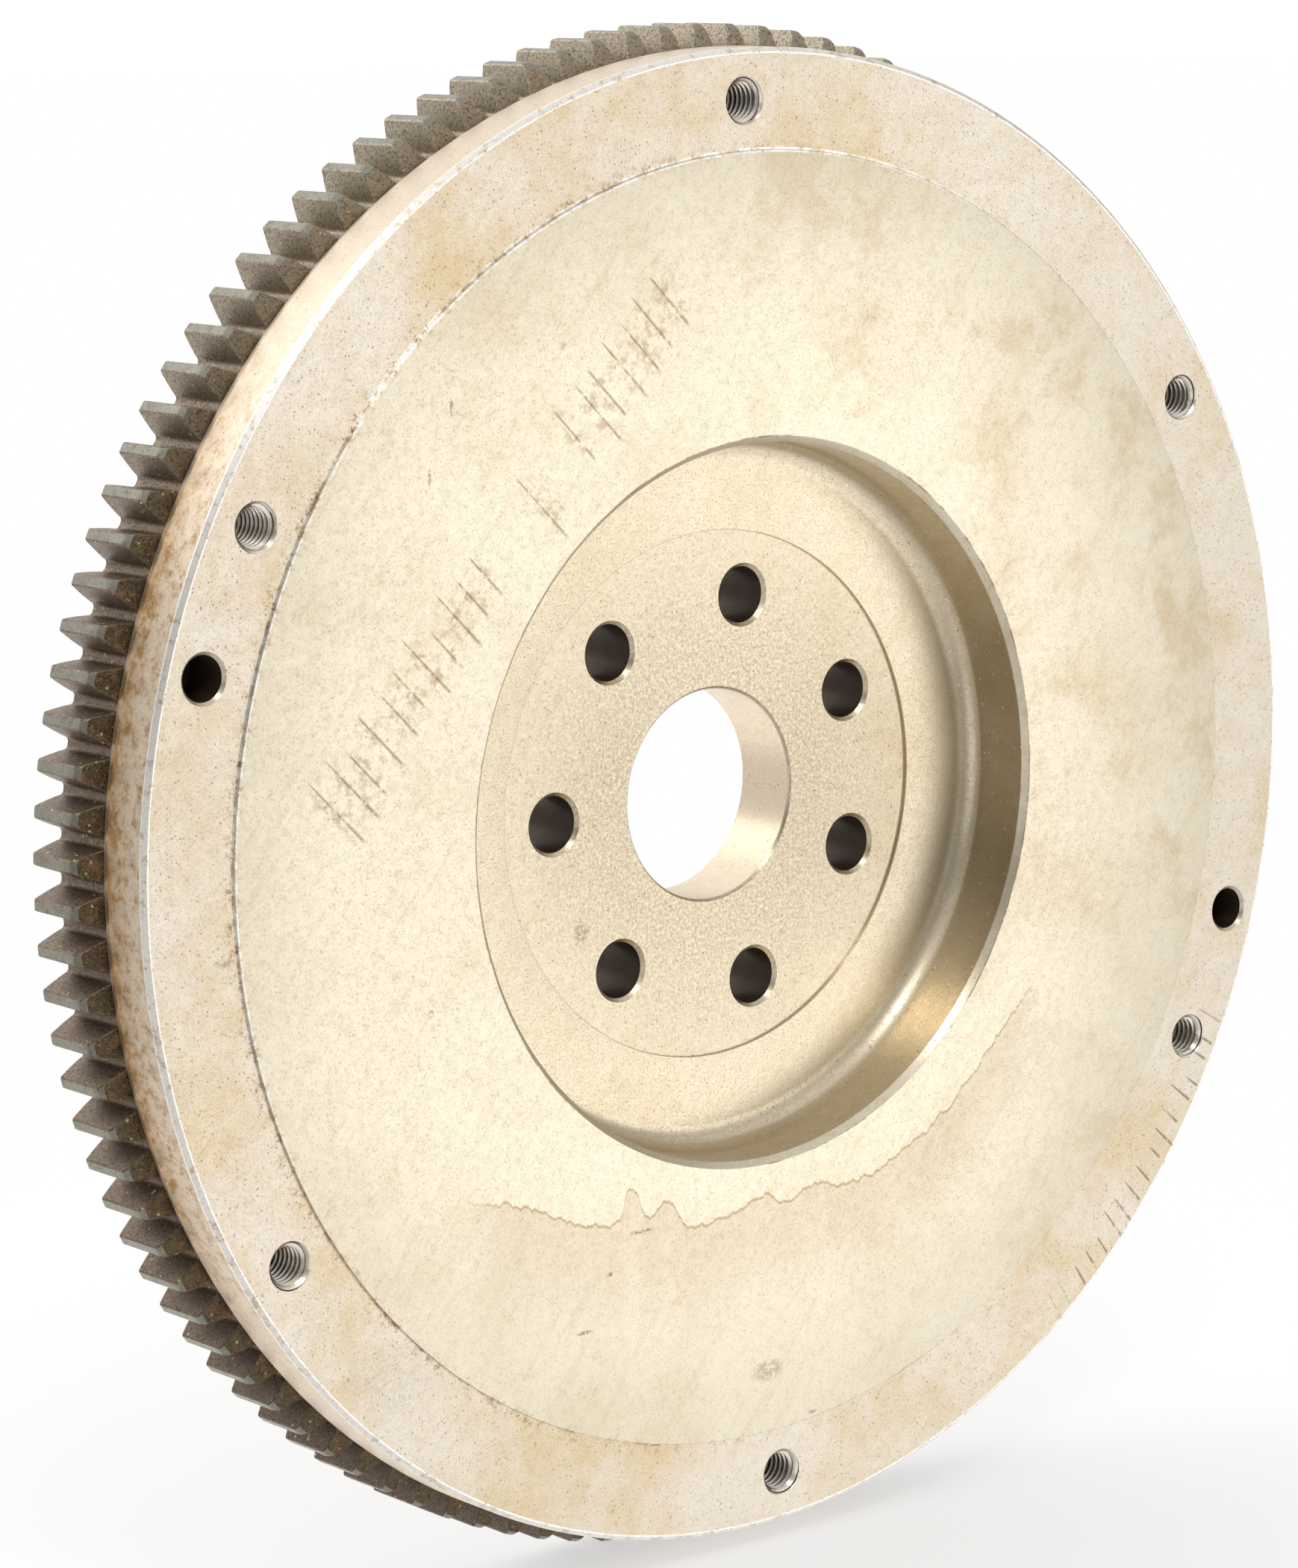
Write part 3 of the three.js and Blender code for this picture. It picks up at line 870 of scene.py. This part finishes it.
    # Relief: fine turned grooves, a faint grain and the pores.
    profile = calc(tree, "ADD", radius, depth)
    grooves = noise(tree, profile, 2.6, 2, 0.8, "1D")
    height = calc(tree, "MULTIPLY_ADD", grooves, 0.35, times(tree, noise(tree, place, 1.4, 3, 0.7), 0.9))
    height = calc(tree, "MULTIPLY_ADD", specks, -1.2, height)
    height = calc(tree, "MULTIPLY_ADD", times(tree, skin, noise(tree, place, 0.35, 6, 0.65)), 18.0, height)
    bump = addNode(tree, "Bump", {"Height": height})
    bump.inputs["Strength"].default_value = 0.5
    bump.inputs["Distance"].default_value = 0.02 * mm
    plug(tree, colour, shader.inputs["Base Color"])
    plug(tree, rough, shader.inputs["Roughness"])
    plug(tree, metal, shader.inputs["Metallic"])
    plug(tree, bump.outputs["Normal"], shader.inputs["Normal"])
    grooveDirection = addNode(tree, "Tangent", direction_type="RADIAL", axis="Y")
    plug(tree, grooveDirection.outputs["Tangent"], shader.inputs["Tangent"])
    shader.inputs["Anisotropic"].default_value = iron["anisotropy"]
    shader.inputs["Anisotropic Rotation"].default_value = 0.25
    return material


steel = {
    "flank": linear(124, 110, 96),
    "front": linear(112, 100, 78),
    "land": linear(140, 138, 126),
    # painted light on the upper teeth
    "paintedTopLight": linear(186, 176, 156),
    "body": linear(104, 94, 84),
    "rust": linear(150, 96, 48),
    # dark colour for soot patches, also used as painted shade on the lower teeth
    "sootAndShade": linear(40, 34, 28),
    "fleck": linear(226, 198, 146),
    "paint": linear(190, 30, 24),
    "roughness": 0.45,
}
paintDot = {"x": -118.3, "z": 80.9, "reach": 1.0}


def gearSteel():
    material = bpy.data.materials.new("gear steel")
    material.use_nodes = True
    tree = material.node_tree
    shader = tree.nodes["Principled BSDF"]
    at = useGroup(tree, wheelPlace)
    place = at["Place"]
    kind = addNode(tree, "Attribute", attribute_name="finish").outputs["Fac"]
    onFront, onLand, onBody = (isKind(tree, kind, number) for number in (front, land, ringBody))
    axes = addNode(tree, "SeparateXYZ", {"Vector": place}).outputs
    colour = blend(tree, onFront, steel["flank"], steel["front"])
    # Painted light: the teeth are painted lighter towards the top.
    colour = blend(tree, fade(tree, axes["Z"], 40, 135, 0, 0.75), colour, steel["paintedTopLight"])
    # Painted shade: the teeth are painted darker towards the bottom; the same dark colour also marks the soot
    # patches below.
    colour = blend(tree, fade(tree, axes["Z"], -20, -120, 0, 0.35), colour, steel["sootAndShade"])
    colour = blend(tree, onBody, colour, steel["body"])
    patch = noise(tree, place, 0.5, 5, 0.7)
    landColour = blend(tree, fade(tree, patch, 0.45, 0.75, 0, 0.6), steel["land"], steel["body"])
    colour = blend(tree, onLand, colour, landColour)
    rust = calc(tree, "MAXIMUM", fade(tree, noise(tree, place, 2.2, 4, 0.8), 0.5, 0.68),
                times(tree, fade(tree, noise(tree, place, 0.42, 4, 0.7), 0.5, 0.66), onFront))
    rust = times(tree, rust, calc(tree, "MULTIPLY_ADD", onLand, -0.7, 0.95))
    colour = blend(tree, times(tree, rust, 0.5), colour, steel["rust"])
    sootAndShade = fade(tree, noise(tree, place, 2.0, 5, 0.85), 0.5, 0.6)
    colour = blend(tree, times(tree, sootAndShade, calc(tree, "MULTIPLY_ADD", onLand, -0.5, 0.75)), colour,
                   steel["sootAndShade"])
    flecks = useGroup(tree, speckle, Place=place, **{"Cells per mm": 2.4, "Share": 0.5})["Mask"]
    large = useGroup(tree, speckle, Place=place, **{"Cells per mm": 0.8, "Share": 0.3})["Mask"]
    fleck = times(tree, calc(tree, "MAXIMUM", flecks, large), calc(tree, "MULTIPLY_ADD", onLand, -0.7, 0.9))
    colour = blend(tree, times(tree, fleck, 0.8), colour, steel["fleck"])
    dx, dz = calc(tree, "SUBTRACT", axes["X"], paintDot["x"]), calc(tree, "SUBTRACT", axes["Z"],
                                                                    paintDot["z"])
    far = calc(tree, "SQRT", calc(tree, "MULTIPLY_ADD", dx, dx, times(tree, dz, dz)))
    dot = times(tree, fade(tree, far, paintDot["reach"], 0.7 * paintDot["reach"]),
               calc(tree, "LESS_THAN", axes["Y"], gearFrontY + 4.0))
    colour = blend(tree, dot, colour, steel["paint"])
    rough = calc(tree, "MULTIPLY_ADD", patch, 0.25, steel["roughness"] - 0.12)
    rough = calc(tree, "MULTIPLY_ADD", calc(tree, "MAXIMUM", rust, fleck), 0.25, rough)
    metal = calc(tree, "SUBTRACT", 0.9, times(tree, calc(tree, "MAXIMUM", rust, fleck), 0.8), clamp=True)
    metal = times(tree, metal, calc(tree, "SUBTRACT", 1.0, dot))
    height = calc(tree, "MULTIPLY_ADD", fleck, 0.5, noise(tree, place, 1.8, 5, 0.75))
    bump = addNode(tree, "Bump", {"Height": height})
    bump.inputs["Strength"].default_value = 0.5
    bump.inputs["Distance"].default_value = 0.12 * mm
    plug(tree, colour, shader.inputs["Base Color"])
    plug(tree, rough, shader.inputs["Roughness"])
    plug(tree, metal, shader.inputs["Metallic"])
    plug(tree, bump.outputs["Normal"], shader.inputs["Normal"])
    return material


flywheelDisc = makeDisc(turnedIron())
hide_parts("flywheel_disc")
print("flywheel disc made,", len(flywheelDisc.data.polygons), "faces")

ringGear = makeGear(gearSteel())
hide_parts("ring_gear")
print("ring gear made,", len(ringGear.data.polygons), "faces")

for piece in (flywheelDisc, ringGear):
    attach(piece, "root")


studio = {
    "floorGap": 0.1,  # millimetres under the lowest tooth
    "floorReach": 9.0,  # metres
    "floorColour": (0.93, 0.93, 0.93, 1.0),
    "glowFrom": 0.17,  # metres from the wheel to where the floor starts to fade into the white around it
    "glowTo": 0.36,
    "leastGlow": 0.55,
    "skyBase": 0.24,
    "skyKey": 0.6,
    "skyTop": 0.65,
    "skyBack": 1.0,
    "skyLow": 0.5,
    "skyEye": 0.7,
    "eyeDirection": (-0.75, -0.64, -0.17),
    "keyDirection": (0.6, -0.73, -0.32),
}
softBoxes = [  # place and aim in metres, size, power in watts
    {"name": "overhead", "place": (-0.5, -0.95, 1.3), "aim": (0, 0, 0), "size": (0.5, 0.4), "power": 4},
    {"name": "rim light", "place": (-0.9, 0.75, 1.1), "aim": (-0.1, 0, 0), "size": (1.1, 1.1), "power": 5},
    {"name": "front right", "place": (0.95, -1.35, -0.2), "aim": (0, 0, 0), "size": (0.9, 0.9), "power": 2.5},
]


def floorPaint():
    # Pale matt paint that turns into plain white light with the distance from the wheel.
    paint = bpy.data.materials.new("floor paint")
    paint.use_nodes = True
    tree = paint.node_tree
    matt = tree.nodes["Principled BSDF"]
    matt.inputs["Base Color"].default_value = studio["floorColour"]
    matt.inputs["Roughness"].default_value = 0.9
    spot = addNode(tree, "TexCoord").outputs["Object"]
    far = addNode(tree, "VectorMath", {0: spot}, operation="LENGTH").outputs["Value"]
    glow = addNode(tree, "Emission")
    share = fade(tree, far, studio["glowFrom"], studio["glowTo"], studio["leastGlow"])
    mixed = addNode(tree, "MixShader", {0: share, 1: matt.outputs[0], 2: glow.outputs[0]})
    plug(tree, mixed.outputs[0], tree.nodes["Material Output"].inputs["Surface"])
    return paint


def makeFloor():
    reach = studio["floorReach"]
    z = -(tipRadius + studio["floorGap"]) * mm
    corners = [(-reach, -reach, z), (reach, -reach, z), (reach, reach, z), (-reach, reach, z)]
    data = bpy.data.meshes.new("floor")
    data.from_pydata(corners, [], [(0, 1, 2, 3)])
    data.materials.append(floorPaint())
    floor = bpy.data.objects.new("floor", data)
    floor.visible_glossy = False
    bpy.context.scene.collection.objects.link(floor)


def makeSoftBoxes():
    for box in softBoxes:
        light = bpy.data.lights.new(box["name"], "AREA")
        light.shape = "RECTANGLE"
        light.size, light.size_y = box["size"]
        light.energy = box["power"]
        lamp = bpy.data.objects.new(box["name"], light)
        lamp.location = box["place"]
        lamp.rotation_euler = (Vector(box["aim"]) - Vector(box["place"])).to_track_quat("-Z", "Y").to_euler()
        bpy.context.scene.collection.objects.link(lamp)


def makeSky():
    # The light around the wheel: bright overhead and to the front right, dimmer behind and to the front left.
    # Level = base + key * step(direction . key) + top * step(z) + back * step(y) + low * step(-z)
    # + eye * step(direction . eye). The eye sees white.
    world = bpy.data.worlds.new("studio")
    bpy.context.scene.world = world
    world.use_nodes = True
    tree = world.node_tree
    direction = addNode(tree, "TexCoord").outputs["Generated"]
    axes = addNode(tree, "SeparateXYZ", {"Vector": direction}).outputs
    towardKey = addNode(tree, "VectorMath", {0: direction, 1: studio["keyDirection"]},
                        operation="DOT_PRODUCT")
    level = calc(tree, "MULTIPLY_ADD", fade(tree, towardKey.outputs["Value"], 0.6, 0.97), studio["skyKey"],
                 studio["skyBase"])
    level = calc(tree, "MULTIPLY_ADD", fade(tree, axes["Z"], 0.15, 0.8), studio["skyTop"], level)
    level = calc(tree, "MULTIPLY_ADD", fade(tree, axes["Y"], 0.1, 0.9), studio["skyBack"], level)
    level = calc(tree, "MULTIPLY_ADD", fade(tree, axes["Z"], -0.3, -0.7), studio["skyLow"], level)
    towardEye = addNode(tree, "VectorMath", {0: direction, 1: studio["eyeDirection"]},
                        operation="DOT_PRODUCT")
    level = calc(tree, "MULTIPLY_ADD", fade(tree, towardEye.outputs["Value"], 0.9, 0.98), studio["skyEye"],
                 level)
    toEye = addNode(tree, "LightPath").outputs["Is Camera Ray"]
    background = tree.nodes["Background"]
    plug(tree, calc(tree, "MAXIMUM", level, toEye), background.inputs["Strength"])
    background.inputs["Color"].default_value = (1.0, 1.0, 1.0, 1.0)


makeFloor()
makeSoftBoxes()
makeSky()
bpy.context.scene.view_settings.view_transform = "Standard"
print("floor and light made")
